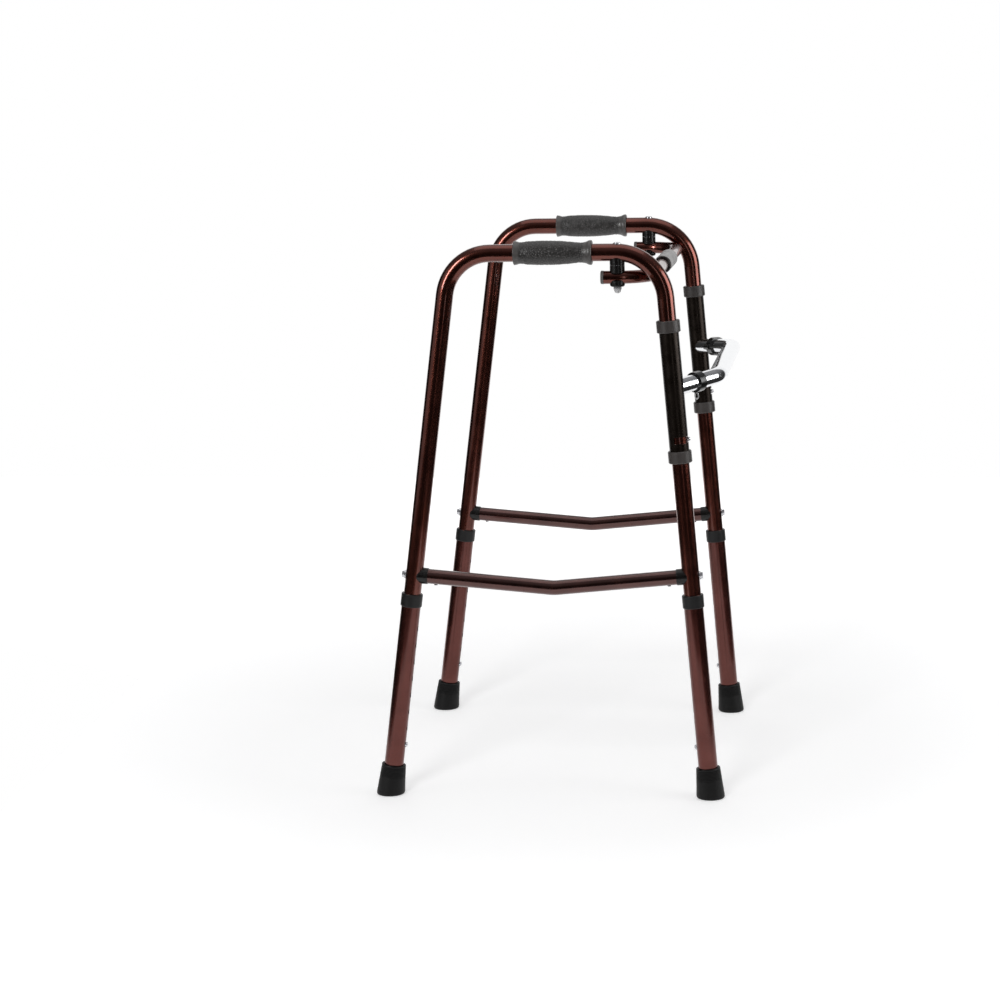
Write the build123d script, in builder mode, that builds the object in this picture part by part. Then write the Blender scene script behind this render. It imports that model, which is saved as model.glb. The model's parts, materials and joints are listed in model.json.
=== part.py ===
from build123d import *
from math import atan, cos, sin, radians, hypot
import os

os.makedirs("parts", exist_ok=True)

# Walking frame with reciprocating sides. Millimetres.
# +X points forwards (away from the user), +Y to the user's left, +Z up.
# The origin lies on the floor, under the middle of the frame.

# ------------------------------------------------------------ driving dimensions
half_width = 260.0          # each side frame's plane from the middle
rear_foot_x = -241.1        # where the rear leg's axis meets the floor
front_foot_x = 236.9        # where the front leg's axis meets the floor
rear_slope = 0.134          # forward run of the rear leg per unit of height
front_slope = -0.0772       # the front leg leans the other way
hand_height = 805.0         # axis of the hand tube, lowest setting
tube_r, tube_wall = 12.7, 1.6
rear_bend_r, front_bend_r = 68.0, 72.0
tube_end_z = 55.0           # lower ends of the side tube, inside the lower legs

leg_r, leg_bore_r = 14.3, 13.0      # lower legs telescope over the side tube
leg_bottom_z = 9.5
collar_r, collar_bore_r, collar_h = 15.85, 12.76, 19.1
collar_bottom_z = 285.5
collar_seat = 14.6          # length of the lower leg's end inside the collar
button_z = 77.0             # height button at the lowest setting
hole_pitch, hole_count = 25.4, 8

foot_h, foot_top_r, foot_r = 45.5, 17.9, 21.0

button_r, button_tip = 3.7, 17.5
sleeve_button_z, sleeve_button_r, sleeve_button_tip = 533.0, 3.2, 17.3
button_back = 8.3           # back of a button from the leg's axis
spring_t, spring_w = 0.8, 6.0

brace_r, brace_wall = 11.0, 1.5
brace_end_z = 332.0
brace_vertex = (10.1, 313.5)
saddle_reach, brace_start = 20.6, 20.7      # from the leg's axis, along the brace

grip_start_x = -39.0
grip_profile = [            # distance along the grip, outer radius
    (3.5, 17.0), (9.5, 15.7), (22.0, 17.0), (42.0, 17.7), (62.0, 17.4),
    (82.0, 16.1), (97.0, 14.5), (104.0, 15.3), (110.3, 17.9),
]
grip_length = 113.7

sleeve_mid_z, sleeve_half = 603.15, 96.4
bush_r, bush_h, bush_lap = 17.25, 17.5, 10.0
slot_h, slot_front, slot_back = 10.0, 21.5, -114.5

crossbar_r, crossbar_wall = 12.0, 1.5
crossbar_z, crossbar_x, crossbar_mid_z = 608.0, 249.9, 616.5
crossbar_run_y, crossbar_bend_r = 178.0, 45.0
clamp_r, clamp_half = 15.0, 6.5
cable_r = 2.0

pivot_x, bow_z, bow_r, bow_wall = 110.6, 769.0, 9.5, 1.5
bow_x, bow_bend_r, bow_tail = 158.9, 52.0, 19.5
coupling_r, coupling_half = 13.5, 59.0
bolt_r, bolt_hole_r = 3.0, 3.5

hw = half_width


def rear_x(z):
    return rear_foot_x + rear_slope * z


def front_x(z):
    return front_foot_x + front_slope * z


def rear_plane(z, y=-hw):
    # across the rear leg: local X forwards, local Y to the left, local Z up the leg
    return Plane(origin=(rear_x(z), y, z), x_dir=(1, 0, -rear_slope), z_dir=(rear_slope, 0, 1))


def front_plane(z, y=-hw):
    return Plane(origin=(front_x(z), y, z), x_dir=(1, 0, -front_slope), z_dir=(front_slope, 0, 1))


def facing(p, way):
    # looks out of a leg's side: way +1 forwards, -1 backwards; local Y runs up the leg
    return Plane(origin=p.origin, x_dir=p.y_dir * way, z_dir=p.x_dir * way)


def lengthwise(p, way=1):
    # contains the leg's axis: local X out of the leg's side, local Y up the leg
    return Plane(origin=p.origin, x_dir=p.x_dir * way, z_dir=p.y_dir * -way)


# The path of the bent side tube: up the rear leg, along the hand tube, down the front leg.
side_points = [
    (rear_x(tube_end_z), -hw, tube_end_z),
    (rear_x(hand_height), -hw, hand_height),
    (front_x(hand_height), -hw, hand_height),
    (front_x(tube_end_z), -hw, tube_end_z),
]
side_radii = (rear_bend_r, front_bend_r)

# The brace between the legs: a shallow V.
brace_a = Vector(rear_x(brace_end_z), -hw, brace_end_z)
brace_b = Vector(front_x(brace_end_z), -hw, brace_end_z)
brace_v = Vector(brace_vertex[0], -hw, brace_vertex[1])
dir_a = (brace_v - brace_a).normalized()
dir_b = (brace_v - brace_b).normalized()
axis_a = Plane(origin=brace_a, x_dir=(0, 1, 0), z_dir=dir_a)
axis_b = Plane(origin=brace_b, x_dir=(0, 1, 0), z_dir=dir_b)
under_a = Plane(origin=brace_a + dir_a * 33, x_dir=(0, 1, 0), z_dir=(dir_a.Z, 0, -dir_a.X))
under_b = Plane(origin=brace_b + dir_b * 33, x_dir=(0, 1, 0), z_dir=(-dir_b.Z, 0, dir_b.X))

pivot = Plane(origin=(pivot_x, -hw, 0))

# ------------------------------------------------------------ right side frame
with BuildPart() as right_side_tube:
    with BuildLine() as path:
        FilletPolyline(*side_points, radius=side_radii)
    with BuildSketch(Plane(origin=path.line @ 0, x_dir=(0, 1, 0), z_dir=path.line % 0)):
        Circle(tube_r)
        Circle(tube_r - tube_wall, mode=Mode.SUBTRACT)
    sweep(path=path.line)
    # height button holes, one in each leg, on the faces towards each other
    with BuildSketch(facing(rear_plane(button_z), 1)):
        Circle(button_r + 0.1)
    extrude(amount=30, mode=Mode.SUBTRACT)
    with BuildSketch(facing(front_plane(button_z), -1)):
        Circle(button_r + 0.1)
    extrude(amount=30, mode=Mode.SUBTRACT)
    # hole for the button that holds the swivel sleeve
    with BuildSketch(facing(front_plane(sleeve_button_z), 1)):
        Circle(sleeve_button_r + 0.1)
    extrude(amount=30, mode=Mode.SUBTRACT)
    # brace screw holes
    with BuildSketch(axis_a):
        Circle(3.2)
    extrude(amount=25, both=True, mode=Mode.SUBTRACT)
    with BuildSketch(axis_b):
        Circle(3.2)
    extrude(amount=25, both=True, mode=Mode.SUBTRACT)
    # pivot bolt hole and the flattened seat of its head
    with BuildSketch(pivot.offset(hand_height - 20)):
        Circle(3.2)
    extrude(amount=40, mode=Mode.SUBTRACT)
    with BuildSketch(pivot.offset(hand_height + tube_r - 0.9)):
        Circle(6.2)
    extrude(amount=5, mode=Mode.SUBTRACT)

with BuildPart() as right_hand_grip:
    with BuildSketch(Plane(origin=(grip_start_x, -hw, hand_height), x_dir=(1, 0, 0), z_dir=(0, -1, 0))):
        with BuildLine():
            Line((0, tube_r + 0.05), (0, 16.6))
            Spline((0, 16.6), *grip_profile, (grip_length, 17.6))
            Line((grip_length, 17.6), (grip_length, tube_r + 0.05))
            Line((grip_length, tube_r + 0.05), (0, tube_r + 0.05))
        make_face()
    revolve(axis=Axis((0, -hw, hand_height), (1, 0, 0)))

with BuildPart() as right_brace_tube:
    with BuildLine() as brace_path:
        FilletPolyline(brace_a + dir_a * brace_start, brace_v, brace_b + dir_b * brace_start, radius=60)
    with BuildSketch(Plane(origin=brace_path.line @ 0, x_dir=(0, 1, 0), z_dir=brace_path.line % 0)):
        Circle(brace_r)
        Circle(brace_r - brace_wall, mode=Mode.SUBTRACT)
    sweep(path=brace_path.line)
    for under in (under_a, under_b):
        with BuildSketch(under):
            Circle(1.6)
        extrude(amount=20, mode=Mode.SUBTRACT)

with BuildPart() as right_brace_saddles:
    # a black cup between each leg and the end of the brace
    for axis_plane in (axis_a, axis_b):
        with BuildSketch(axis_plane.offset(5)):
            Circle(12.0)
        extrude(amount=saddle_reach - 5)
        with BuildSketch(axis_plane):
            Circle(3.1)
        extrude(amount=30, mode=Mode.SUBTRACT)
    for leg_plane in (rear_plane(brace_end_z), front_plane(brace_end_z)):
        with BuildSketch(leg_plane.offset(-30)):
            Circle(tube_r + 0.02)
        extrude(amount=60, mode=Mode.SUBTRACT)

with BuildPart() as right_brace_screws:
    # washer, domed head and shank, through the leg and into the plug
    for axis_plane in (axis_a, axis_b):
        with BuildSketch(axis_plane.offset(-14.5)):
            Circle(6.3)
        extrude(amount=1.2)
        with BuildSketch(axis_plane.offset(-17.9)):
            RegularPolygon(radius=5.3, side_count=6)
        extrude(amount=3.4)
        with BuildSketch(axis_plane.offset(-14.5)):
            Circle(3.0)
        extrude(amount=50.5)

with BuildPart() as right_brace_plugs:
    # threaded plugs inside the ends of the brace
    for axis_plane in (axis_a, axis_b):
        with BuildSketch(axis_plane.offset(brace_start + 0.3)):
            Circle(brace_r - brace_wall - 0.05)
            Circle(3.02, mode=Mode.SUBTRACT)
        extrude(amount=20)
    for under in (under_a, under_b):
        with BuildSketch(under.offset(4)):
            Circle(1.52)
        extrude(amount=20, mode=Mode.SUBTRACT)

with BuildPart() as right_brace_rivets:
    for under in (under_a, under_b):
        with BuildSketch(under.offset(4.5)):
            Circle(1.5)
        extrude(amount=brace_r - 4.5 + 0.6)
        with BuildSketch(under.offset(brace_r + 0.02)):
            Circle(2.7)
        extrude(amount=1.2)

# ------------------------------------------------------------ right legs
leg_length = (collar_bottom_z - leg_bottom_z) * hypot(1, rear_slope) + collar_seat
front_leg_length = (collar_bottom_z - leg_bottom_z) * hypot(1, front_slope) + collar_seat

with BuildPart() as right_rear_lower_leg:
    with BuildSketch(rear_plane(leg_bottom_z)):
        Circle(leg_r)
        Circle(leg_bore_r, mode=Mode.SUBTRACT)
    extrude(amount=leg_length)
    with BuildSketch(facing(rear_plane(button_z), 1)):
        with Locations(*[(0, k * hole_pitch) for k in range(hole_count)]):
            Circle(button_r + 0.5)
    extrude(amount=30, mode=Mode.SUBTRACT)

with BuildPart() as right_front_lower_leg:
    with BuildSketch(front_plane(leg_bottom_z)):
        Circle(leg_r)
        Circle(leg_bore_r, mode=Mode.SUBTRACT)
    extrude(amount=front_leg_length)
    with BuildSketch(facing(front_plane(button_z), -1)):
        with Locations(*[(0, k * hole_pitch) for k in range(hole_count)]):
            Circle(button_r + 0.5)
    extrude(amount=30, mode=Mode.SUBTRACT)

with BuildPart() as right_rear_collar:
    with BuildSketch(rear_plane(collar_bottom_z)):
        Circle(collar_r)
    extrude(amount=collar_h)
    chamfer(right_rear_collar.edges().filter_by(GeomType.CIRCLE), 0.8)
    with BuildSketch(rear_plane(collar_bottom_z)):
        Circle(leg_r + 0.02)
    extrude(amount=collar_seat + 0.02, mode=Mode.SUBTRACT)
    with BuildSketch(rear_plane(collar_bottom_z)):
        Circle(collar_bore_r)
    extrude(amount=collar_h, mode=Mode.SUBTRACT)

with BuildPart() as right_front_collar:
    with BuildSketch(front_plane(collar_bottom_z)):
        Circle(collar_r)
    extrude(amount=collar_h)
    chamfer(right_front_collar.edges().filter_by(GeomType.CIRCLE), 0.8)
    with BuildSketch(front_plane(collar_bottom_z)):
        Circle(leg_r + 0.02)
    extrude(amount=collar_seat + 0.02, mode=Mode.SUBTRACT)
    with BuildSketch(front_plane(collar_bottom_z)):
        Circle(collar_bore_r)
    extrude(amount=collar_h, mode=Mode.SUBTRACT)

foot_profile = [
    (0, -6), (foot_r - 0.2, -6), (foot_r, 3), (foot_r - 0.5, 9), (foot_top_r, foot_h - 2),
    (foot_top_r - 0.7, foot_h), (leg_r + 0.1, foot_h), (leg_r + 0.1, leg_bottom_z),
    (0, leg_bottom_z), (0, -6),
]

with BuildPart() as right_rear_foot:
    # rubber tip, coaxial with the leg, its sole cut level with the floor
    with BuildSketch(lengthwise(rear_plane(0))):
        with BuildLine():
            Polyline(*foot_profile)
        make_face()
    revolve(axis=Axis(rear_plane(0).origin, rear_plane(0).z_dir))
    split(bisect_by=Plane.XY, keep=Keep.TOP)
    fillet(right_rear_foot.edges().group_by(Axis.Z)[0], 2.0)

with BuildPart() as right_front_foot:
    with BuildSketch(lengthwise(front_plane(0))):
        with BuildLine():
            Polyline(*foot_profile)
        make_face()
    revolve(axis=Axis(front_plane(0).origin, front_plane(0).z_dir))
    split(bisect_by=Plane.XY, keep=Keep.TOP)
    fillet(right_front_foot.edges().group_by(Axis.Z)[0], 2.0)

# ------------------------------------------------------------ right snap buttons and springs
with BuildPart() as right_rear_button:
    with BuildSketch(facing(rear_plane(button_z), 1).offset(button_back)):
        Circle(button_r)
    extrude(amount=button_tip - button_back)
    fillet(right_rear_button.faces().sort_by(Axis.X)[-1].edges(), 2.4)
    with BuildSketch(facing(rear_plane(button_z), 1).offset(button_back)):
        Circle(5.0)
    extrude(amount=1.2)

with BuildPart() as right_front_button:
    with BuildSketch(facing(front_plane(button_z), -1).offset(button_back)):
        Circle(button_r)
    extrude(amount=button_tip - button_back)
    fillet(right_front_button.faces().sort_by(Axis.X)[0].edges(), 2.4)
    with BuildSketch(facing(front_plane(button_z), -1).offset(button_back)):
        Circle(5.0)
    extrude(amount=1.2)

with BuildPart() as right_sleeve_button:
    with BuildSketch(facing(front_plane(sleeve_button_z), 1).offset(button_back)):
        Circle(sleeve_button_r)
    extrude(amount=sleeve_button_tip - button_back)
    fillet(right_sleeve_button.faces().sort_by(Axis.X)[-1].edges(), 2.2)
    with BuildSketch(facing(front_plane(sleeve_button_z), 1).offset(button_back)):
        Circle(4.6)
    extrude(amount=1.2)

leaf_x = button_back - 0.05 - spring_t / 2      # the leaf that carries the button
heel_x = -9.4                                   # the leaf against the far wall
leaf_mid, leaf_bend = (leaf_x + heel_x) / 2, (leaf_x - heel_x) / 2

with BuildPart() as right_rear_button_spring:
    # a flat strip bent double inside the tube, sprung outwards
    with BuildSketch(lengthwise(rear_plane(button_z), 1)):
        with BuildLine():
            Line((leaf_x, 5), (leaf_x, -10))
            ThreePointArc((leaf_x, -10), (leaf_mid, -10 - leaf_bend), (heel_x, -10))
            Line((heel_x, -10), (heel_x, 5))
        trace(line_width=spring_t)
    extrude(amount=spring_w / 2, both=True)

with BuildPart() as right_front_button_spring:
    with BuildSketch(lengthwise(front_plane(button_z), -1)):
        with BuildLine():
            Line((leaf_x, 5), (leaf_x, -10))
            ThreePointArc((leaf_x, -10), (leaf_mid, -10 - leaf_bend), (heel_x, -10))
            Line((heel_x, -10), (heel_x, 5))
        trace(line_width=spring_t)
    extrude(amount=spring_w / 2, both=True)

with BuildPart() as right_sleeve_button_spring:
    with BuildSketch(lengthwise(front_plane(sleeve_button_z), 1)):
        with BuildLine():
            Line((leaf_x, 5), (leaf_x, -10))
            ThreePointArc((leaf_x, -10), (leaf_mid, -10 - leaf_bend), (heel_x, -10))
            Line((heel_x, -10), (heel_x, 5))
        trace(line_width=spring_t)
    extrude(amount=spring_w / 2, both=True)

# ------------------------------------------------------------ swivel sleeve on the right front leg
with BuildPart() as right_swivel_sleeve:
    with BuildSketch(front_plane(sleeve_mid_z).offset(-sleeve_half)):
        Circle(leg_r)
        Circle(leg_bore_r, mode=Mode.SUBTRACT)
    extrude(amount=2 * sleeve_half)
    # the slot that the button works in, from the front round the outer side
    with BuildSketch(front_plane(sleeve_button_z).offset(-slot_h / 2)):
        with BuildLine():
            Polyline(
                (0, 0),
                *[
                    (40 * cos(radians(slot_front + k * (slot_back - slot_front) / 8)),
                     40 * sin(radians(slot_front + k * (slot_back - slot_front) / 8)))
                    for k in range(9)
                ],
                close=True,
            )
        make_face()
    extrude(amount=slot_h, mode=Mode.SUBTRACT)

with BuildPart() as right_sleeve_bushes:
    # a ring at each end of the sleeve, running on the leg
    with BuildSketch(front_plane(sleeve_mid_z).offset(sleeve_half - bush_lap)):
        Circle(bush_r)
    extrude(amount=bush_h)
    with BuildSketch(front_plane(sleeve_mid_z).offset(-sleeve_half + bush_lap - bush_h)):
        Circle(bush_r)
    extrude(amount=bush_h)
    chamfer(right_sleeve_bushes.edges().filter_by(GeomType.CIRCLE), 1.0)
    with BuildSketch(front_plane(sleeve_mid_z).offset(-sleeve_half - 0.02)):
        Circle(leg_r + 0.02)
    extrude(amount=2 * sleeve_half + 0.04, mode=Mode.SUBTRACT)
    with BuildSketch(front_plane(sleeve_mid_z).offset(-150)):
        Circle(collar_bore_r)
    extrude(amount=300, mode=Mode.SUBTRACT)

# ------------------------------------------------------------ lower crossbar
run_start = Vector(front_x(crossbar_z), -hw, crossbar_z)
run_bend = Vector(crossbar_x, -crossbar_run_y, crossbar_mid_z)
run_dir = (run_bend - run_start).normalized()

with BuildPart() as crossbar:
    with BuildLine() as bar_path:
        FilletPolyline(
            run_start,
            run_bend,
            (crossbar_x, crossbar_run_y, crossbar_mid_z),
            (front_x(crossbar_z), hw, crossbar_z),
            radius=crossbar_bend_r,
        )
    with BuildSketch(Plane(origin=bar_path.line @ 0, x_dir=(0, 0, 1), z_dir=bar_path.line % 0)):
        Circle(crossbar_r)
        Circle(crossbar_r - crossbar_wall, mode=Mode.SUBTRACT)
    sweep(path=bar_path.line)
    # coped to the sleeves
    for y in (-hw, hw):
        with BuildSketch(front_plane(crossbar_z, y).offset(-30)):
            Circle(leg_r + 0.02)
        extrude(amount=60, mode=Mode.SUBTRACT)

clamp_at = (run_start + run_bend) * 0.5
clamp_plane = Plane(origin=clamp_at, x_dir=(0, 0, 1), z_dir=run_dir)
inward = Vector(-run_dir.Y, run_dir.X, 0).normalized()      # backwards and inwards, square to the run
lug_at = clamp_at + inward * 16.0
lug_plane = Plane(origin=lug_at, x_dir=(0, 0, 1), z_dir=run_dir)

with BuildPart() as right_clamp:
    # a ring round the bar with a lug that holds the link cable
    with BuildSketch(clamp_plane.offset(-clamp_half)):
        Circle(clamp_r)
    extrude(amount=2 * clamp_half)
    with BuildSketch(lug_plane.offset(-clamp_half)):
        Circle(4.2)
    extrude(amount=2 * clamp_half)
    with BuildSketch(clamp_plane.offset(-clamp_half)):
        Circle(crossbar_r + 0.02)
    extrude(amount=2 * clamp_half, mode=Mode.SUBTRACT)

cable_start = lug_at + run_dir * (clamp_half + 0.02)
cable_corner = cable_start + run_dir * ((crossbar_x - 14.7 - cable_start.X) / run_dir.X)
with BuildPart() as link_cable:
    with BuildLine() as cable_path:
        FilletPolyline(
            cable_start,
            cable_corner,
            (cable_corner.X, -cable_corner.Y, cable_corner.Z),
            (cable_start.X, -cable_start.Y, cable_start.Z),
            radius=35,
        )
    with BuildSketch(Plane(origin=cable_path.line @ 0, x_dir=(0, 0, 1), z_dir=cable_path.line % 0)):
        Circle(cable_r)
    sweep(path=cable_path.line)

with BuildPart() as pull_loop:
    # a wire loop that hangs under the right clamp
    loop_plane = Plane(origin=(clamp_at.X, clamp_at.Y, clamp_at.Z - clamp_r - 5.2), x_dir=(0, 0, 1), z_dir=(0, -1, 0))
    with BuildSketch(loop_plane):
        SlotOverall(13.0, 7.0)
        SlotOverall(9.4, 3.4, mode=Mode.SUBTRACT)
    extrude(amount=0.9, both=True)
    with BuildSketch(clamp_plane.offset(-clamp_half - 5)):
        Circle(clamp_r + 0.02)
    extrude(amount=2 * clamp_half + 10, mode=Mode.SUBTRACT)

# ------------------------------------------------------------ upper bow
bow_points = [
    (pivot_x - bow_tail, -hw, bow_z),
    (bow_x, -hw, bow_z),
    (bow_x, -0.4, bow_z),
]
with BuildPart() as right_bow_tube:
    with BuildLine() as bow_path:
        FilletPolyline(*bow_points, radius=bow_bend_r)
    with BuildSketch(Plane(origin=bow_path.line @ 0, x_dir=(0, 1, 0), z_dir=bow_path.line % 0)):
        Circle(bow_r)
        Circle(bow_r - bow_wall, mode=Mode.SUBTRACT)
    sweep(path=bow_path.line)
    with BuildSketch(pivot.offset(bow_z - 20)):
        Circle(bolt_hole_r)
    extrude(amount=40, mode=Mode.SUBTRACT)

with BuildPart() as coupling_sleeve:
    with BuildSketch(Plane(origin=(bow_x, -coupling_half, bow_z), x_dir=(1, 0, 0), z_dir=(0, 1, 0))):
        Circle(coupling_r)
        Circle(bow_r + 0.06, mode=Mode.SUBTRACT)
    extrude(amount=2 * coupling_half)
    # open mouths at both ends
    for y, way in ((-coupling_half, 1), (coupling_half, -1)):
        with BuildSketch(Plane(origin=(bow_x, y, bow_z), x_dir=(1, 0, 0), z_dir=(0, way, 0))):
            Circle(coupling_r - 1.4)
        extrude(amount=6, mode=Mode.SUBTRACT)

with BuildPart() as bow_end_caps:
    for y in (-hw, hw):
        with BuildSketch(Plane(origin=(pivot_x - bow_tail - 4.5, y, bow_z), x_dir=(0, 1, 0), z_dir=(1, 0, 0))):
            Circle(bow_r + 0.2)
        extrude(amount=4.48)
        with BuildSketch(Plane(origin=(pivot_x - bow_tail - 0.1, y, bow_z), x_dir=(0, 1, 0), z_dir=(1, 0, 0))):
            Circle(bow_r - bow_wall - 0.05)
        extrude(amount=9)
    fillet(bow_end_caps.faces().filter_by(Axis.X).group_by(Axis.X)[0].edges(), 1.2)

# ------------------------------------------------------------ right pivot stack
upper_saddle_bottom, bow_saddle_top = 787.0, 786.4
bottom_saddle_top, bottom_saddle_bottom = 764.5, 755.5

with BuildPart() as right_upper_saddle:
    with BuildSketch(pivot.offset(upper_saddle_bottom)):
        Circle(10.8)
    extrude(amount=796.5 - upper_saddle_bottom)
    with BuildLine() as seat_path:
        FilletPolyline(*side_points, radius=side_radii)
    with BuildSketch(Plane(origin=seat_path.line @ 0, x_dir=(0, 1, 0), z_dir=seat_path.line % 0)):
        Circle(tube_r + 0.02)
    sweep(path=seat_path.line, mode=Mode.SUBTRACT)
    with BuildSketch(pivot.offset(780)):
        Circle(3.2)
    extrude(amount=20, mode=Mode.SUBTRACT)

with BuildPart() as right_bow_saddles:
    with BuildSketch(pivot.offset(775.5)):
        Circle(10.8)
    extrude(amount=bow_saddle_top - 775.5)
    with BuildSketch(pivot.offset(bottom_saddle_bottom)):
        Circle(10.8)
    extrude(amount=bottom_saddle_top - bottom_saddle_bottom)
    fillet(right_bow_saddles.faces().filter_by(Axis.Z).sort_by(Axis.Z)[0].edges(), 3.2)
    with BuildLine() as bow_seat:
        FilletPolyline(*bow_points, radius=bow_bend_r)
    with BuildSketch(Plane(origin=bow_seat.line @ 0, x_dir=(0, 1, 0), z_dir=bow_seat.line % 0)):
        Circle(bow_r + 0.02)
    sweep(path=bow_seat.line, mode=Mode.SUBTRACT)
    with BuildSketch(pivot.offset(750)):
        Circle(bolt_hole_r)
    extrude(amount=45, mode=Mode.SUBTRACT)

head_seat = hand_height + tube_r - 0.9
with BuildPart() as right_pivot_bolt:
    with BuildSketch(pivot.offset(head_seat)):
        Circle(5.2)
    extrude(amount=2.6)
    fillet(right_pivot_bolt.faces().sort_by(Axis.Z)[-1].edges(), 1.4)
    with BuildSketch(pivot.offset(749.2)):
        Circle(bolt_r)
    extrude(amount=head_seat - 749.2)
    with BuildSketch(pivot.offset(head_seat + 1.5)):
        RegularPolygon(radius=2.0, side_count=6)
    extrude(amount=2, mode=Mode.SUBTRACT)

with BuildPart() as right_dome_nut:
    with BuildSketch(pivot.offset(746.0)):
        Circle(4.9)
    extrude(amount=755.2 - 746.0)
    fillet(right_dome_nut.faces().sort_by(Axis.Z)[0].edges(), 4.2)
    with BuildSketch(pivot.offset(751.6)):
        RegularPolygon(radius=5.8, side_count=6)
    extrude(amount=755.2 - 751.6)
    with BuildSketch(pivot.offset(749.0)):
        Circle(bolt_r + 0.02)
    extrude(amount=10, mode=Mode.SUBTRACT)

# ------------------------------------------------------------ left side, mirrored in the middle plane
with BuildPart() as left_side_tube:
    mirror(right_side_tube.part, about=Plane.XZ)
with BuildPart() as left_hand_grip:
    mirror(right_hand_grip.part, about=Plane.XZ)
with BuildPart() as left_brace_tube:
    mirror(right_brace_tube.part, about=Plane.XZ)
with BuildPart() as left_brace_saddles:
    mirror(right_brace_saddles.part, about=Plane.XZ)
with BuildPart() as left_brace_screws:
    mirror(right_brace_screws.part, about=Plane.XZ)
with BuildPart() as left_brace_plugs:
    mirror(right_brace_plugs.part, about=Plane.XZ)
with BuildPart() as left_brace_rivets:
    mirror(right_brace_rivets.part, about=Plane.XZ)
with BuildPart() as left_rear_lower_leg:
    mirror(right_rear_lower_leg.part, about=Plane.XZ)
with BuildPart() as left_front_lower_leg:
    mirror(right_front_lower_leg.part, about=Plane.XZ)
with BuildPart() as left_rear_collar:
    mirror(right_rear_collar.part, about=Plane.XZ)
with BuildPart() as left_front_collar:
    mirror(right_front_collar.part, about=Plane.XZ)
with BuildPart() as left_rear_foot:
    mirror(right_rear_foot.part, about=Plane.XZ)
with BuildPart() as left_front_foot:
    mirror(right_front_foot.part, about=Plane.XZ)
with BuildPart() as left_rear_button:
    mirror(right_rear_button.part, about=Plane.XZ)
with BuildPart() as left_front_button:
    mirror(right_front_button.part, about=Plane.XZ)
with BuildPart() as left_sleeve_button:
    mirror(right_sleeve_button.part, about=Plane.XZ)
with BuildPart() as left_rear_button_spring:
    mirror(right_rear_button_spring.part, about=Plane.XZ)
with BuildPart() as left_front_button_spring:
    mirror(right_front_button_spring.part, about=Plane.XZ)
with BuildPart() as left_sleeve_button_spring:
    mirror(right_sleeve_button_spring.part, about=Plane.XZ)
with BuildPart() as left_swivel_sleeve:
    mirror(right_swivel_sleeve.part, about=Plane.XZ)
with BuildPart() as left_sleeve_bushes:
    mirror(right_sleeve_bushes.part, about=Plane.XZ)
with BuildPart() as left_clamp:
    mirror(right_clamp.part, about=Plane.XZ)
with BuildPart() as left_bow_tube:
    mirror(right_bow_tube.part, about=Plane.XZ)
with BuildPart() as left_upper_saddle:
    mirror(right_upper_saddle.part, about=Plane.XZ)
with BuildPart() as left_bow_saddles:
    mirror(right_bow_saddles.part, about=Plane.XZ)
with BuildPart() as left_pivot_bolt:
    mirror(right_pivot_bolt.part, about=Plane.XZ)
with BuildPart() as left_dome_nut:
    mirror(right_dome_nut.part, about=Plane.XZ)

# ------------------------------------------------------------ labels and files
pieces = {
    "right_side_tube": right_side_tube,
    "right_hand_grip": right_hand_grip,
    "right_brace_tube": right_brace_tube,
    "right_brace_saddles": right_brace_saddles,
    "right_brace_screws": right_brace_screws,
    "right_brace_plugs": right_brace_plugs,
    "right_brace_rivets": right_brace_rivets,
    "right_rear_lower_leg": right_rear_lower_leg,
    "right_front_lower_leg": right_front_lower_leg,
    "right_rear_collar": right_rear_collar,
    "right_front_collar": right_front_collar,
    "right_rear_foot": right_rear_foot,
    "right_front_foot": right_front_foot,
    "right_rear_button": right_rear_button,
    "right_front_button": right_front_button,
    "right_sleeve_button": right_sleeve_button,
    "right_rear_button_spring": right_rear_button_spring,
    "right_front_button_spring": right_front_button_spring,
    "right_sleeve_button_spring": right_sleeve_button_spring,
    "right_swivel_sleeve": right_swivel_sleeve,
    "right_sleeve_bushes": right_sleeve_bushes,
    "right_clamp": right_clamp,
    "right_bow_tube": right_bow_tube,
    "right_upper_saddle": right_upper_saddle,
    "right_bow_saddles": right_bow_saddles,
    "right_pivot_bolt": right_pivot_bolt,
    "right_dome_nut": right_dome_nut,
    "left_side_tube": left_side_tube,
    "left_hand_grip": left_hand_grip,
    "left_brace_tube": left_brace_tube,
    "left_brace_saddles": left_brace_saddles,
    "left_brace_screws": left_brace_screws,
    "left_brace_plugs": left_brace_plugs,
    "left_brace_rivets": left_brace_rivets,
    "left_rear_lower_leg": left_rear_lower_leg,
    "left_front_lower_leg": left_front_lower_leg,
    "left_rear_collar": left_rear_collar,
    "left_front_collar": left_front_collar,
    "left_rear_foot": left_rear_foot,
    "left_front_foot": left_front_foot,
    "left_rear_button": left_rear_button,
    "left_front_button": left_front_button,
    "left_sleeve_button": left_sleeve_button,
    "left_rear_button_spring": left_rear_button_spring,
    "left_front_button_spring": left_front_button_spring,
    "left_sleeve_button_spring": left_sleeve_button_spring,
    "left_swivel_sleeve": left_swivel_sleeve,
    "left_sleeve_bushes": left_sleeve_bushes,
    "left_clamp": left_clamp,
    "left_bow_tube": left_bow_tube,
    "left_upper_saddle": left_upper_saddle,
    "left_bow_saddles": left_bow_saddles,
    "left_pivot_bolt": left_pivot_bolt,
    "left_dome_nut": left_dome_nut,
    "crossbar": crossbar,
    "link_cable": link_cable,
    "pull_loop": pull_loop,
    "coupling_sleeve": coupling_sleeve,
    "bow_end_caps": bow_end_caps,
}
for label, piece in pieces.items():
    piece.part.label = label
    export_step(piece.part, f"parts/{label}.step")

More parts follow.
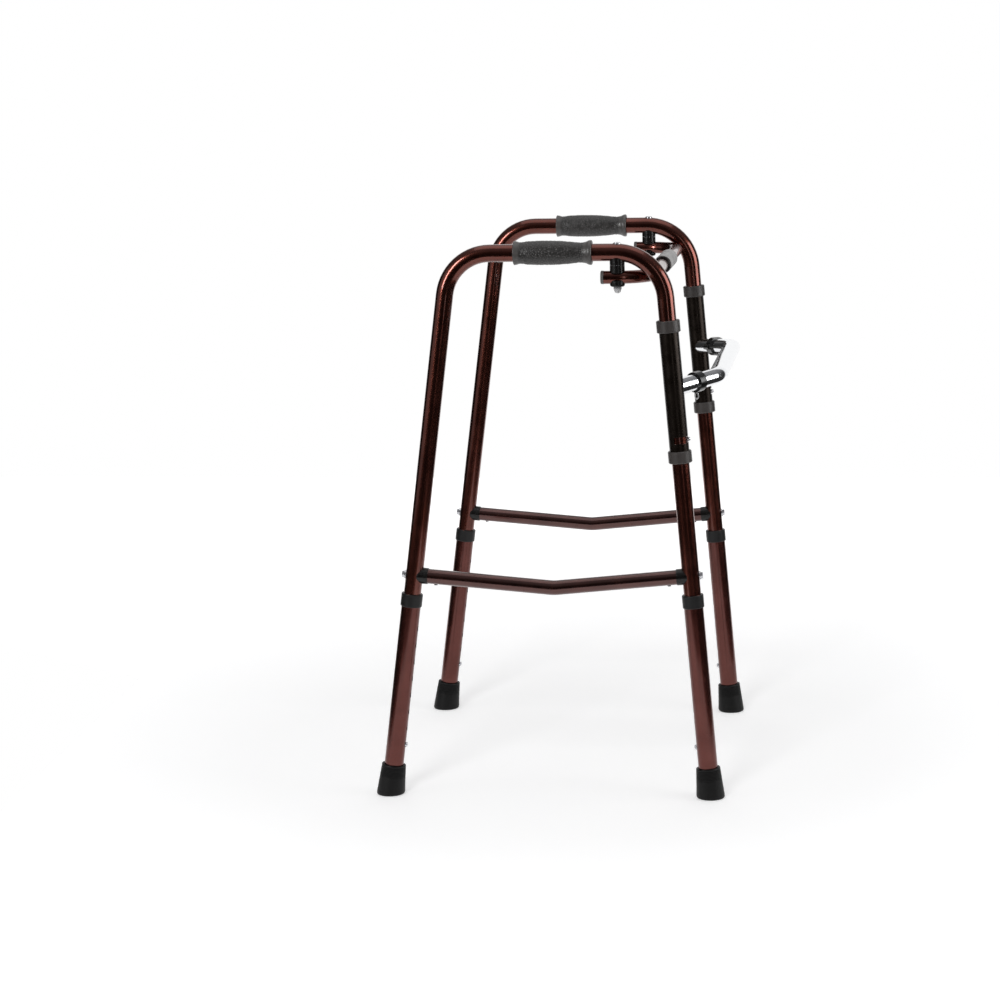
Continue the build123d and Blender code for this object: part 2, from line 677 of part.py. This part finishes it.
boxes = [piece.part.bounding_box() for piece in pieces.values()]
print("x", min(b.min.X for b in boxes), max(b.max.X for b in boxes))
print("y", min(b.min.Y for b in boxes), max(b.max.Y for b in boxes))
print("z", min(b.min.Z for b in boxes), max(b.max.Z for b in boxes))
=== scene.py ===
import json
import math

import bmesh
import bpy
import numpy as np
from mathutils import Matrix, Vector, noise


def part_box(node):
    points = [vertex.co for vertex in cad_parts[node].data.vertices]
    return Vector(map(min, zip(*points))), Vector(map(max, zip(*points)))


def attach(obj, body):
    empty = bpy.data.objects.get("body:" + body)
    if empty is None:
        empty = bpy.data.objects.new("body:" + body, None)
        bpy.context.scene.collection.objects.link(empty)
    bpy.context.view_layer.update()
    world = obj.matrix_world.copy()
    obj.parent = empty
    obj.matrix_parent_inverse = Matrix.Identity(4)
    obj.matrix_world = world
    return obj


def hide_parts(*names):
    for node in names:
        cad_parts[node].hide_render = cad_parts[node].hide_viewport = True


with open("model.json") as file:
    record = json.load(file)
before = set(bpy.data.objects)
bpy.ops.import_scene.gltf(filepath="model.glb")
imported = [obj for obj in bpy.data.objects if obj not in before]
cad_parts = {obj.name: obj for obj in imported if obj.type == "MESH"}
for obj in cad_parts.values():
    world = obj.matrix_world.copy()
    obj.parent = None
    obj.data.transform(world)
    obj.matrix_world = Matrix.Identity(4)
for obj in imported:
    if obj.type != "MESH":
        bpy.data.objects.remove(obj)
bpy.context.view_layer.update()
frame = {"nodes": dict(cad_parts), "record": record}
nodes = frame["nodes"]
scene = bpy.context.scene

HW = 0.26                                   # half width between the side frames
REAR = (-0.2411, 0.134)                     # where a leg's axis meets the floor, and its lean
FRONT = (0.2369, -0.0772)
SIDES = (("right", -1), ("left", 1))
LEGS = (("rear", REAR), ("front", FRONT))

# ------------------------------------------------------------------ camera
def make_camera():
    yaw, pitch, roll = -0.1075, 0.154, -0.0168
    fwd = Vector((math.sin(yaw) * math.cos(pitch), math.cos(yaw) * math.cos(pitch), -math.sin(pitch)))
    right = Vector((math.cos(yaw), -math.sin(yaw), 0))
    up = right.cross(fwd)
    r2 = right * math.cos(roll) + up * math.sin(roll)
    u2 = up * math.cos(roll) - right * math.sin(roll)
    data = bpy.data.cameras.new("camera")
    data.sensor_width = 36.0
    data.lens = 2768.64 * 36.0 / 1000.0
    data.shift_x, data.shift_y = -0.1, -0.05
    data.clip_start, data.clip_end = 0.05, 100.0
    cam = bpy.data.objects.new("camera", data)
    m = Matrix((r2, u2, -fwd)).transposed().to_4x4()
    m.translation = Vector((0.5073, -4.2076, 1.1343))
    cam.matrix_world = m
    scene.collection.objects.link(cam)
    scene.camera = cam


make_camera()


# ------------------------------------------------------------------ material kit
class Mat:
    """A node material. Everything is driven by object coordinates, in metres."""

    def __init__(self, name, **sockets):
        self.m = bpy.data.materials.new(name)
        self.m.use_nodes = True
        self.t = self.m.node_tree
        self.t.nodes.clear()
        self.out = self.n("ShaderNodeOutputMaterial")
        self.b = self.n("ShaderNodeBsdfPrincipled")
        self.t.links.new(self.b.outputs[0], self.out.inputs[0])
        self.co = self.n("ShaderNodeTexCoord").outputs["Object"]
        for k, v in sockets.items():
            self.b.inputs[k.replace("_", " ")].default_value = v

    def n(self, kind, **props):
        node = self.t.nodes.new(kind)
        for k, v in props.items():
            setattr(node, k, v)
        return node

    def put(self, socket, value):
        if isinstance(value, (int, float)):
            socket.default_value = value
        elif isinstance(value, tuple):
            socket.default_value = (*value, 1.0) if len(socket.default_value) == 4 and len(value) == 3 else value
        else:
            self.t.links.new(value, socket)

    def scaled(self, x, y, z, vec=None):
        node = self.n("ShaderNodeMapping")
        self.put(node.inputs["Vector"], vec or self.co)
        node.inputs["Scale"].default_value = (x, y, z)
        return node.outputs[0]

    def noise(self, scale, detail=3.0, rough=0.5, vec=None, distortion=0.0):
        node = self.n("ShaderNodeTexNoise")
        self.put(node.inputs["Vector"], vec or self.co)
        node.inputs["Scale"].default_value = scale
        node.inputs["Detail"].default_value = detail
        node.inputs["Roughness"].default_value = rough
        node.inputs["Distortion"].default_value = distortion
        return node.outputs["Fac"]

    def cells(self, scale, feature="F1", out="Distance", vec=None, randomness=1.0):
        node = self.n("ShaderNodeTexVoronoi", feature=feature)
        self.put(node.inputs["Vector"], vec or self.co)
        node.inputs["Scale"].default_value = scale
        node.inputs["Randomness"].default_value = randomness
        return node.outputs[out]

    def span(self, fac, lo, hi, a=0.0, b=1.0):
        node = self.n("ShaderNodeMapRange", clamp=True)
        self.put(node.inputs["Value"], fac)
        for k, v in (("From Min", lo), ("From Max", hi), ("To Min", a), ("To Max", b)):
            node.inputs[k].default_value = v
        return node.outputs[0]

    def ramp(self, fac, *stops):
        node = self.n("ShaderNodeValToRGB")
        self.put(node.inputs["Fac"], fac)
        el = node.color_ramp.elements
        while len(el) < len(stops):
            el.new(0.5)
        for e, (pos, col) in zip(el, stops):
            e.position = pos
            e.color = (*col, 1.0)
        return node.outputs["Color"]

    def math(self, op, a, b=0.0, clamp=False):
        node = self.n("ShaderNodeMath", operation=op, use_clamp=clamp)
        self.put(node.inputs[0], a)
        self.put(node.inputs[1], b)
        return node.outputs[0]

    def mix(self, fac, a, b, blend="MIX"):
        node = self.n("ShaderNodeMix", data_type="RGBA", blend_type=blend)
        self.put(node.inputs["Factor"], fac)
        self.put(node.inputs[6], a)
        self.put(node.inputs[7], b)
        return node.outputs[2]

    def bump(self, height, distance, strength=1.0, normal=None):
        node = self.n("ShaderNodeBump")
        node.inputs["Strength"].default_value = strength
        node.inputs["Distance"].default_value = distance
        self.put(node.inputs["Height"], height)
        if normal is not None:
            self.put(node.inputs["Normal"], normal)
        return node.outputs[0]

    def edges(self, radius):
        """1 along sharp edges within radius, 0 elsewhere."""
        bev = self.n("ShaderNodeBevel", samples=4)
        bev.inputs["Radius"].default_value = radius
        geo = self.n("ShaderNodeNewGeometry")
        dot = self.n("ShaderNodeVectorMath", operation="DOT_PRODUCT")
        self.put(dot.inputs[0], bev.outputs[0])
        self.put(dot.inputs[1], geo.outputs["Normal"])
        return self.span(dot.outputs["Value"], 0.80, 0.995, 1.0, 0.0)

    def set(self, **sockets):
        for k, v in sockets.items():
            self.put(self.b.inputs[k.replace("_", " ")], v)
        return self.m


def lacquer(name, dark, mid, light, rough, coat, coat_rough, metallic=1.0):
    """Metallic lacquer over drawn tube: flakes, faint cloudiness, dust and a little orange peel."""
    k = Mat(name, Metallic=metallic, Coat_Weight=coat, Coat_Roughness=coat_rough, Coat_IOR=1.5)
    flake = k.cells(5200, out="Color")
    flake_v = k.n("ShaderNodeSeparateColor")
    k.put(flake_v.inputs[0], flake)
    cloud = k.noise(26, 3, 0.5)
    both = k.math("ADD", k.math("MULTIPLY", flake_v.outputs[0], 0.25), k.math("MULTIPLY", cloud, 0.75))
    colour = k.ramp(both, (0.18, dark), (0.52, mid), (0.86, light))
    dust = k.span(k.noise(95, 6, 0.7), 0.52, 0.80, 0.0, 0.05)
    colour = k.mix(dust, colour, (0.20, 0.15, 0.14))
    peel = k.noise(420, 2, 0.4)
    fleck = k.math("MULTIPLY", flake_v.outputs[1], 0.25)
    smear = k.span(k.noise(38, 4, 0.6), 0.35, 0.7, rough - 0.02, rough + 0.04)
    rough_all = k.math("ADD", smear, k.math("MULTIPLY", flake_v.outputs[2], 0.02))
    normal = k.bump(fleck, 0.0000015)
    normal = k.bump(peel, 0.000012, 0.5, normal)
    coat_normal = k.bump(peel, 0.00001, 0.5)
    return k.set(Base_Color=colour, Roughness=rough_all, Normal=normal, Coat_Normal=coat_normal)


def moulded(name, colour, rough, grain=900, depth=0.00003, wear=0.0, coat=0.0, spec=0.5, tint=(1.0, 1.0, 1.0)):
    """Moulded plastic: fine spark-eroded grain, slight flow marks, paler rubbed edges."""
    k = Mat(name, Specular_IOR_Level=spec, Coat_Weight=coat, Coat_Roughness=0.25)
    k.put(k.b.inputs["Specular Tint"], tint)
    flow = k.noise(24, 5, 0.6, k.scaled(1, 1, 2.4))
    speck = k.noise(grain * 1.7, 2, 0.7)
    c = [v for v in colour]
    lo, hi = tuple(v * 0.82 for v in c), tuple(min(1, v * 1.16 + 0.002) for v in c)
    base = k.ramp(k.math("ADD", k.math("MULTIPLY", flow, 0.7), k.math("MULTIPLY", speck, 0.3)), (0.3, lo), (0.7, hi))
    if wear:
        rub = k.math("MULTIPLY", k.edges(0.0009), k.span(k.noise(160, 4, 0.7), 0.35, 0.6, 0.2, 1.0))
        base = k.mix(k.math("MULTIPLY", rub, wear), base, tuple(min(1, v * 2.2 + 0.05) for v in c))
    r = k.span(k.noise(60, 4, 0.6), 0.3, 0.7, rough - 0.07, rough + 0.08)
    soft = k.n("ShaderNodeBevel", samples=6)
    soft.inputs["Radius"].default_value = 0.0007
    normal = k.bump(k.noise(grain, 3, 0.6), depth, 1.0, soft.outputs[0])
    return k.set(Base_Color=base, Roughness=r, Normal=normal)


def plated(name, lo, hi, rough, scale=(40, 40, 900), blotch=0.03, depth=0.000012):
    """Plated or bare steel: fine polishing lines, faint spots and uneven gloss."""
    k = Mat(name, Metallic=1.0)
    lines = k.noise(1.0, 4, 0.6, k.scaled(*scale))
    spots = k.noise(120, 5, 0.7)
    base = k.ramp(k.math("ADD", k.math("MULTIPLY", lines, 0.5), k.math("MULTIPLY", spots, 0.5)), (0.3, lo), (0.72, hi))
    r = k.math("ADD", k.span(lines, 0.3, 0.7, rough, rough + blotch), k.span(spots, 0.45, 0.75, 0.0, blotch))
    return k.set(Base_Color=base, Roughness=r, Normal=k.bump(lines, depth, 0.5))


def rubber(name, lo, hi, rough, pore, depth, dusty=0.10, sheen=0.12, crease_shade=None, spec=0.38):
    """Moulded rubber: pebbled micro grain, bloom and dust in random patches, and painted shade that darkens the creases
    between pebbles towards near black where a crease attribute is given.
    """
    k = Mat(name, Specular_IOR_Level=spec, Sheen_Weight=sheen, Sheen_Roughness=0.45)
    grain = k.cells(pore, vec=k.co)
    fine = k.noise(pore * 3.1, 3, 0.6)
    patch = k.noise(28, 5, 0.65)
    base = k.ramp(k.math("ADD", k.math("MULTIPLY", patch, 0.6), k.math("MULTIPLY", fine, 0.4)), (0.3, lo), (0.72, hi))
    bloom = k.math("MULTIPLY", k.span(k.noise(75, 6, 0.7), 0.5, 0.78), dusty)
    base = k.mix(bloom, base, (0.34, 0.33, 0.315))
    if crease_shade:                               # the mesh carries how deep each point lies in the grain; the deep creases are darkened towards near black as painted shade
        att = k.n("ShaderNodeAttribute", attribute_type="GEOMETRY", attribute_name=crease_shade)
        base = k.mix(k.math("MULTIPLY", att.outputs["Fac"], 0.92, True), base, (0.010, 0.0094, 0.009))
    r = k.span(patch, 0.3, 0.7, rough - 0.06, rough + 0.07)
    normal = k.bump(fine, depth * 0.4)
    normal = k.bump(grain, depth, 0.8, normal)
    return k.set(Base_Color=base, Roughness=r, Normal=normal)


MATS = {
    "red_frame": lacquer("red_frame_lacquer", (0.085, 0.020, 0.012), (0.130, 0.036, 0.025), (0.180, 0.056, 0.042), 0.21, 0.5, 0.05),
    "red_lower": lacquer("red_lower_lacquer", (0.085, 0.022, 0.017), (0.118, 0.034, 0.027), (0.152, 0.050, 0.042), 0.225, 0.40, 0.10),
    # a darker copy of the frame lacquer for the brace tubes: painted shade, the brace being the same red tube as the
    # frame
    "red_shaded_brace": lacquer("red_brace_lacquer", (0.050, 0.015, 0.012), (0.080, 0.026, 0.021), (0.115, 0.042, 0.036), 0.23, 1.0, 0.12),
    "black_sleeve": moulded("black_sleeve_lacquer", (0.0034, 0.0020, 0.0012), 0.28, 700, 0.000003, 0.1, 0.0, 0.26, (1.0, 0.80, 0.68)),
    "grey_bush": moulded("grey_bush_plastic", (0.060, 0.052, 0.049), 0.40, 800, 0.00003, 0.12),
    "charcoal_collar": moulded("charcoal_collar_plastic", (0.0100, 0.0097, 0.0100), 0.38, 800, 0.00003, 0.25, 0.0, 0.32),
    "black_saddle": moulded("black_saddle_plastic", (0.0050, 0.0044, 0.0040), 0.24, 900, 0.00001, 0.25, 0.0, 0.36),
    "clamp_black": moulded("clamp_black_plastic", (0.008, 0.008, 0.008), 0.22, 900, 0.00002, 0.3, 0.4),
    "grey_cap": moulded("light_grey_cap_plastic", (0.15, 0.14, 0.135), 0.42, 900, 0.00003, 0.15),
    "coupling_grey": moulded("coupling_grey_plastic", (0.19, 0.18, 0.175), 0.38, 900, 0.00002, 0.2, 0.2),
    "clear_cap": moulded("pale_cap_plastic", (0.74, 0.74, 0.75), 0.16, 900, 0.000004, 0.0, 0.6),
    "zinc": plated("zinc_plate", (0.50, 0.50, 0.52), (0.74, 0.74, 0.77), 0.20),
    "spring_steel": plated("spring_steel", (0.22, 0.23, 0.25), (0.40, 0.41, 0.44), 0.30),
    "chrome_bar": plated("chrome_plate", (0.80, 0.81, 0.83), (0.93, 0.94, 0.96), 0.12, (300, 60, 300), 0.03, 0.000004),
    "foot_rubber": rubber("foot_rubber", (0.0022, 0.0021, 0.0021), (0.0050, 0.0049, 0.0049), 0.46, 1500, 0.00003, 0.008, 0.0, None, 0.20),
    # the grip rubber darkens the creases of its pebbled grain with painted shade
    "grip_rubber": rubber("grip_rubber", (0.082, 0.077, 0.074), (0.128, 0.120, 0.116), 0.36, 1100, 0.00003, 0.02, 0.05, "crease_shade", 0.5),
    "cable_black": rubber("cable_sheath", (0.006, 0.006, 0.006), (0.014, 0.014, 0.014), 0.40, 2600, 0.00002, 0.02),
}

slot_of = {row["node"]: row["material_slot"] for row in frame["record"]["subparts"]}
for name, obj in nodes.items():
    # the brace tubes take the darker copy of the frame lacquer, as painted shade
    mat = MATS["red_shaded_brace" if "brace_tube" in name else slot_of[name]]
    obj.data.materials.clear()
    obj.data.materials.append(mat)


# ------------------------------------------------------------------ mesh kit
def mesh_object(name, verts, faces, material, body, replaces=(), angle=40):
    me = bpy.data.meshes.new(name)
    me.from_pydata([tuple(v) for v in verts], [], faces)
    me.update()
    bm = bmesh.new()
    bm.from_mesh(me)
    bmesh.ops.recalc_face_normals(bm, faces=bm.faces)
    bm.to_mesh(me)
    bm.free()
    me.shade_smooth()
    me.set_sharp_from_angle(angle=math.radians(angle))
    me.materials.append(material)
    ob = bpy.data.objects.new(name, me)
    scene.collection.objects.link(ob)
    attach(ob, body)
    if replaces:
        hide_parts(*replaces)
    return ob


def lathe(profile, segs, place, closed=False):
    """Rings of the profile (radius, height) about local Z. place(r, angle, h) gives the point. Radius 0 ends are poles."""
    verts, rings = [], []
    for r, h in profile:
        if r < 1e-7:
            verts.append(place(0.0, 0.0, h))
            rings.append([len(verts) - 1])
        else:
            start = len(verts)
            for i in range(segs):
                verts.append(place(r, 2 * math.pi * i / segs, h))
            rings.append(list(range(start, start + segs)))
    faces = []
    pairs = list(zip(rings, rings[1:]))
    if closed:
        pairs.append((rings[-1], rings[0]))
    for a, b in pairs:
        if len(a) == 1 and len(b) == 1:
            continue
        for i in range(segs):
            j = (i + 1) % segs
            if len(a) == 1:
                faces.append((a[0], b[j], b[i]))
            elif len(b) == 1:
                faces.append((a[i], a[j], b[0]))
            else:
                faces.append((a[i], a[j], b[j], b[i]))
    return verts, faces


def smooth_profile(points, step):
    """Points every step along a monotone cubic through (position, radius) pairs."""
    xs = np.array([p[0] for p in points], float)
    ys = np.array([p[1] for p in points], float)
    d = np.diff(ys) / np.diff(xs)
    m = np.zeros(len(xs))
    m[0], m[-1] = d[0], d[-1]
    for i in range(1, len(xs) - 1):
        if d[i - 1] * d[i] > 0:
            w1, w2 = 2 * (xs[i + 1] - xs[i]) + (xs[i] - xs[i - 1]), (xs[i + 1] - xs[i]) + 2 * (xs[i] - xs[i - 1])
            m[i] = (w1 + w2) / (w1 / d[i - 1] + w2 / d[i])
    out = []
    for x in np.arange(xs[0], xs[-1] + step * 0.5, step):
        x = min(x, xs[-1])
        i = min(int(np.searchsorted(xs, x, side="right")) - 1, len(xs) - 2)
        hh = xs[i + 1] - xs[i]
        t = (x - xs[i]) / hh
        out.append((float(x), float(
            ys[i] * (2 * t**3 - 3 * t**2 + 1) + m[i] * hh * (t**3 - 2 * t**2 + t)
            + ys[i + 1] * (-2 * t**3 + 3 * t**2) + m[i + 1] * hh * (t**3 - t**2))))
    return out


def leg_frame(side, leg):
    x0, lean = leg
    z = Vector((lean, 0, 1)).normalized()
    x = Vector((1, 0, -lean)).normalized()
    return Vector((x0, side * HW, 0)), x, z.cross(x), z


# ------------------------------------------------------------------ hand grips
def grain(p, scale):
    """0 in the creases between pebbles, 1 on their tops."""
    d = noise.voronoi(p * scale, distance_metric="DISTANCE", exponent=2.5)[0]
    return min(1.0, (d[1] - d[0]) * 1.7)


def hand_grip(side, s):
    x0, z0 = -0.039, 0.805
    body = [(0.0, 16.9), (1.2, 17.4), (3.5, 17.05), (9.5, 15.75), (22, 17.05), (42, 17.7), (62, 17.4),
            (82, 16.15), (97, 14.65), (104, 15.35), (110.3, 17.75), (112.4, 17.85), (113.7, 17.3)]
    prof = smooth_profile(body, 0.5)
    ring = [(12.85, 1.2), (12.9, 0.5), (13.6, 0.0), (16.2, 0.0)] + [(r, t) for t, r in prof[1:-1]] \
        + [(16.6, 113.7), (13.6, 113.7), (12.9, 113.2), (12.85, 112.5)]
    crease_shade = []

    def place(r, a, h):
        y, z = r * math.cos(a), r * math.sin(a)
        deep = 0.0
        if 14.0 < r and 2.0 < h < 111.5:
            fade = max(0.0, min(1.0, (h - 6.0) / 4.0, (104.0 - h) / 4.0))
            if fade > 0:
                p = Vector((h, y, z))
                g = grain(p + noise.noise_vector(p * 0.35) * 0.3, 0.44)
                deep = fade * (1 - g)
                r -= 0.60 * deep
            y, z = r * math.cos(a), r * math.sin(a)
        crease_shade.append(deep)
        return (x0 + h / 1000, s * HW + s * y / 1000, z0 + z / 1000)

    verts, faces = lathe([(r, h) for r, h in ring], 216, place, closed=True)
    ob = mesh_object(f"{side}_grip_moulding", verts, faces, MATS["grip_rubber"],
                     f"{side}_side", (f"{side}_hand_grip",), 60)
    # crease depth kept per point; the grip material turns it into painted shade in the creases
    att = ob.data.attributes.new("crease_shade", "FLOAT", "POINT")
    att.data.foreach_set("value", np.array(crease_shade, np.float32))


# ------------------------------------------------------------------ rubber feet
def rubber_foot(side, s, end, leg):
    o, ax, ay, az = leg_frame(s, leg)
    rings = []
    h = 41.6
    while h > 28.0:                          # fine ribs round the neck
        base = 17.95 + (43.5 - h) * 0.075
        rings += [(base, h), (base, h - 0.75), (base - 0.5, h - 1.0), (base - 0.5, h - 1.65), (base, h - 1.9)]
        h -= 1.95
    low = [(19.12, 26.8), (19.55, 21.0), (20.05, 15.0), (20.45, 10.0), (20.8, 6.0), (20.98, 3.6), (20.8, 2.0),
           (20.2, 0.75), (19.3, 0.12), (18.6, 0.0)]
    sole = []
    for r in (17.4, 13.4, 9.4, 5.4):          # tread rings
        sole += [(r, 0.0), (r - 0.35, 1.3), (r - 1.65, 1.3), (r - 2.0, 0.0)]
    prof = [(14.45, 30.0), (14.45, 44.2), (14.75, 45.2), (15.6, 45.5), (17.0, 45.45), (17.7, 45.0), (17.95, 44.0),
            (17.95, 42.7), (17.4, 42.3), (17.4, 41.9)] + rings + low + sole + [(0.0, 0.0)]

    def place(r, a, hh):
        x, y = r * math.cos(a), r * math.sin(a)
        # the sole is level while the neck follows the leg
        t = max(0.0, min(1.0, hh / 16.0))
        w = 1 - t * t * (3 - 2 * t)
        level = -(ax.z * x / az.z) * w
        p = ax * x + ay * y + az * (hh / az.z * (1 - w) + hh * w + level)
        return o + p / 1000

    verts, faces = lathe(prof, 112, place)
    mesh_object(f"{side}_{end}_foot_tip", verts, faces, MATS["foot_rubber"],
                f"{side}_{end}_leg", (f"{side}_{end}_foot",), 55)


for side, s in SIDES:
    hand_grip(side, s)
    for end, leg in LEGS:
        rubber_foot(side, s, end, leg)


# ------------------------------------------------------------------ link cable and pull loop
def front_x(z):
    return FRONT[0] + FRONT[1] * z


start = Vector((front_x(0.608), -HW, 0.608))
bend = Vector((0.2499, -0.178, 0.6165))
run = (bend - start).normalized()
inward = Vector((-run.y, run.x, 0)).normalized()
clamp_at = (start + bend) / 2
lug_at = clamp_at + inward * 0.016
c0 = lug_at + run * 0.0065
c1 = c0 + run * ((0.2499 - 0.0147 - c0.x) / run.x)
gap = (c1 - c0).length
route = [c0, c1, Vector((c1.x, c1.y + gap, c1.z))]
route += [Vector((p.x, -p.y, p.z)) for p in reversed(route)]


def nurbs(name, points, radius, material, body, cyclic=False):
    data = bpy.data.curves.new(name, "CURVE")
    data.dimensions = "3D"
    sp = data.splines.new("NURBS")
    sp.points.add(len(points) - 1)
    for q, p in zip(sp.points, points):
        q.co = (*p, 1.0)
    sp.order_u = 3
    sp.use_cyclic_u = cyclic
    if not cyclic:
        sp.use_endpoint_u = True
    sp.resolution_u = 24
    data.bevel_depth = radius
    data.bevel_resolution = 6
    data.use_fill_caps = True
    data.materials.append(material)
    ob = bpy.data.objects.new(name, data)
    scene.collection.objects.link(ob)
    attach(ob, body)
    return ob


def spline_length(ob):
    plain = ob.data.copy()
    plain.bevel_depth = 0.0
    tmp = bpy.data.objects.new("measure", plain)
    me = bpy.data.meshes.new_from_object(tmp)
    pts = [v.co.copy() for v in me.vertices]
    total = sum((b - a).length for a, b in zip(pts, pts[1:]))
    bpy.data.objects.remove(tmp)
    bpy.data.meshes.remove(me)
    bpy.data.curves.remove(plain)
    return total


cable = nurbs("link_cable_line", route, 0.002, MATS["cable_black"], "crossbar_set")
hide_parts("link_cable")
round(spline_length(cable), 3)

lo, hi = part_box("pull_loop")
mid = (lo + hi) / 2
hz, hy = (hi.z - lo.z) / 2 - 0.0011, (hi.x - lo.x) / 2 - 0.0011
loop_pts = []
for i in range(12):
    a = 2 * math.pi * i / 12
    loop_pts.append(Vector((mid.x + hy * math.sin(a) * 1.04, mid.y, mid.z + hz * math.cos(a) * 1.04)))
loop = nurbs("pull_loop_wire", loop_pts, 0.0010, MATS["clear_cap"], "crossbar_set", cyclic=True)
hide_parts("pull_loop")

# ------------------------------------------------------------------ carried-over CAD nodes: crisp but softened edges
for name, obj in nodes.items():
    obj.data.shade_smooth()
    obj.data.set_sharp_from_angle(angle=math.radians(28))

# ------------------------------------------------------------------ stage and light
def make_stage():
    # a roll of white paper that glows by emission as painted light, dimmer close to the walker and almost white far
    # off, and is lit by the lamps under a dim studio
    bm = bmesh.new()
    corners = ((-0.78, -1.16), (0.78, -1.20), (0.78, 0.45), (1.6, 2.6), (-3.6, 2.6), (-0.82, 0.45))
    bm.faces.new([bm.verts.new((x, y, -0.0004)) for x, y in corners])
    me = bpy.data.meshes.new("floor")
    bm.to_mesh(me)
    bm.free()
    floor = bpy.data.objects.new("floor", me)
    scene.collection.objects.link(floor)
    k = Mat("floor_paper", Specular_IOR_Level=0.1, Emission_Strength=1.0)
    away = k.n("ShaderNodeVectorMath", operation="LENGTH")
    k.put(away.inputs[0], k.co)
    # painted light: the paper's own glow grows with distance from the walker
    glow = k.ramp(k.span(away.outputs["Value"], 0.5, 2.4), (0.0, (0.47, 0.47, 0.47)), (0.45, (0.66, 0.66, 0.66)), (1.0, (0.98, 0.98, 0.98)))
    k.put(k.b.inputs["Emission Color"], glow)
    grainy = k.noise(35, 4, 0.6)
    base = k.ramp(grainy, (0.3, (0.79, 0.79, 0.79)), (0.7, (0.81, 0.81, 0.81)))
    me.materials.append(k.set(Base_Color=base, Roughness=0.85))

    world = bpy.data.worlds.new("studio")
    scene.world = world
    world.use_nodes = True
    t = world.node_tree
    bg = t.nodes["Background"]
    bg.inputs["Strength"].default_value = 1.0
    # the white sweep stands behind; round the sides and overhead the studio is dim
    path = t.nodes.new("ShaderNodeLightPath")
    co = t.nodes.new("ShaderNodeTexCoord")
    sep = t.nodes.new("ShaderNodeSeparateXYZ")
    t.links.new(co.outputs["Generated"], sep.inputs[0])
    behind = t.nodes.new("ShaderNodeMapRange")
    behind.interpolation_type = "SMOOTHSTEP"
    behind.inputs["From Min"].default_value, behind.inputs["From Max"].default_value = 0.74, 0.82
    t.links.new(sep.outputs["Y"], behind.inputs["Value"])
    sweep = t.nodes.new("ShaderNodeMix")
    sweep.data_type = "RGBA"
    t.links.new(behind.outputs[0], sweep.inputs["Factor"])
    dim = t.nodes.new("ShaderNodeValToRGB")      # dark at the horizon, paler ceiling
    el = dim.color_ramp.elements
    el[0].position, el[0].color = 0.0, (0.025, 0.025, 0.025, 1)
    el[1].position, el[1].color = 1.0, (0.34, 0.34, 0.35, 1)
    el.new(0.30).color = (0.03, 0.03, 0.03, 1)
    t.links.new(sep.outputs["Z"], dim.inputs["Fac"])
    t.links.new(dim.outputs["Color"], sweep.inputs[6])
    sweep.inputs[7].default_value = (1, 1, 1, 1)
    mix = t.nodes.new("ShaderNodeMix")
    mix.data_type = "RGBA"
    t.links.new(path.outputs["Is Camera Ray"], mix.inputs["Factor"])
    t.links.new(sweep.outputs[2], mix.inputs[6])
    mix.inputs[7].default_value = (1, 1, 1, 1)
    t.links.new(mix.outputs[2], bg.inputs["Color"])
    scene.view_settings.view_transform = "Standard"


def softbox(name, at, look, size, radiance, size_y=None, seen=True, lights=True):
    """An area light of that radiance, turned to look at a point. seen: mirrored in gloss; lights: lights matt surfaces."""
    data = bpy.data.lights.new(name, "AREA")
    data.shape = "RECTANGLE"
    data.size, data.size_y = size, size_y or size
    data.energy = radiance * math.pi * data.size * data.size_y
    ob = bpy.data.objects.new(name, data)
    ob.location = at
    ob.rotation_mode = "QUATERNION"
    ob.rotation_quaternion = (Vector(look) - Vector(at)).to_track_quat("-Z", "Y")
    ob.visible_glossy = seen
    ob.visible_diffuse = lights
    scene.collection.objects.link(ob)


make_stage()
softbox("sun_window", (-0.75, -3.3, 3.0), (0, 0, 0.2), 0.9, 16.0, seen=False)
softbox("left_front", (-2.0, -2.5, 1.65), (0, 0, 0.8), 0.42, 22.0, 1.6, lights=False)
softbox("top", (0.1, 0.3, 3.5), (0.1, 0.3, 0.0), 3.0, 0.8)
softbox("right_side", (2.55, -0.4, 1.35), (0, -0.2, 0.9), 1.7, 4.5, 1.7, lights=False)
softbox("right_fill", (2.55, -0.6, 1.5), (0, 0, 0.6), 1.7, 1.3, 1.7, seen=False)
softbox("right_front", (1.25, -3.2, 1.0), (0, -0.2, 0.8), 0.36, 1.6, 1.8)
softbox("left_side", (-2.4, -1.2, 1.2), (0, 0, 0.7), 2.0, 0.42, 2.0)
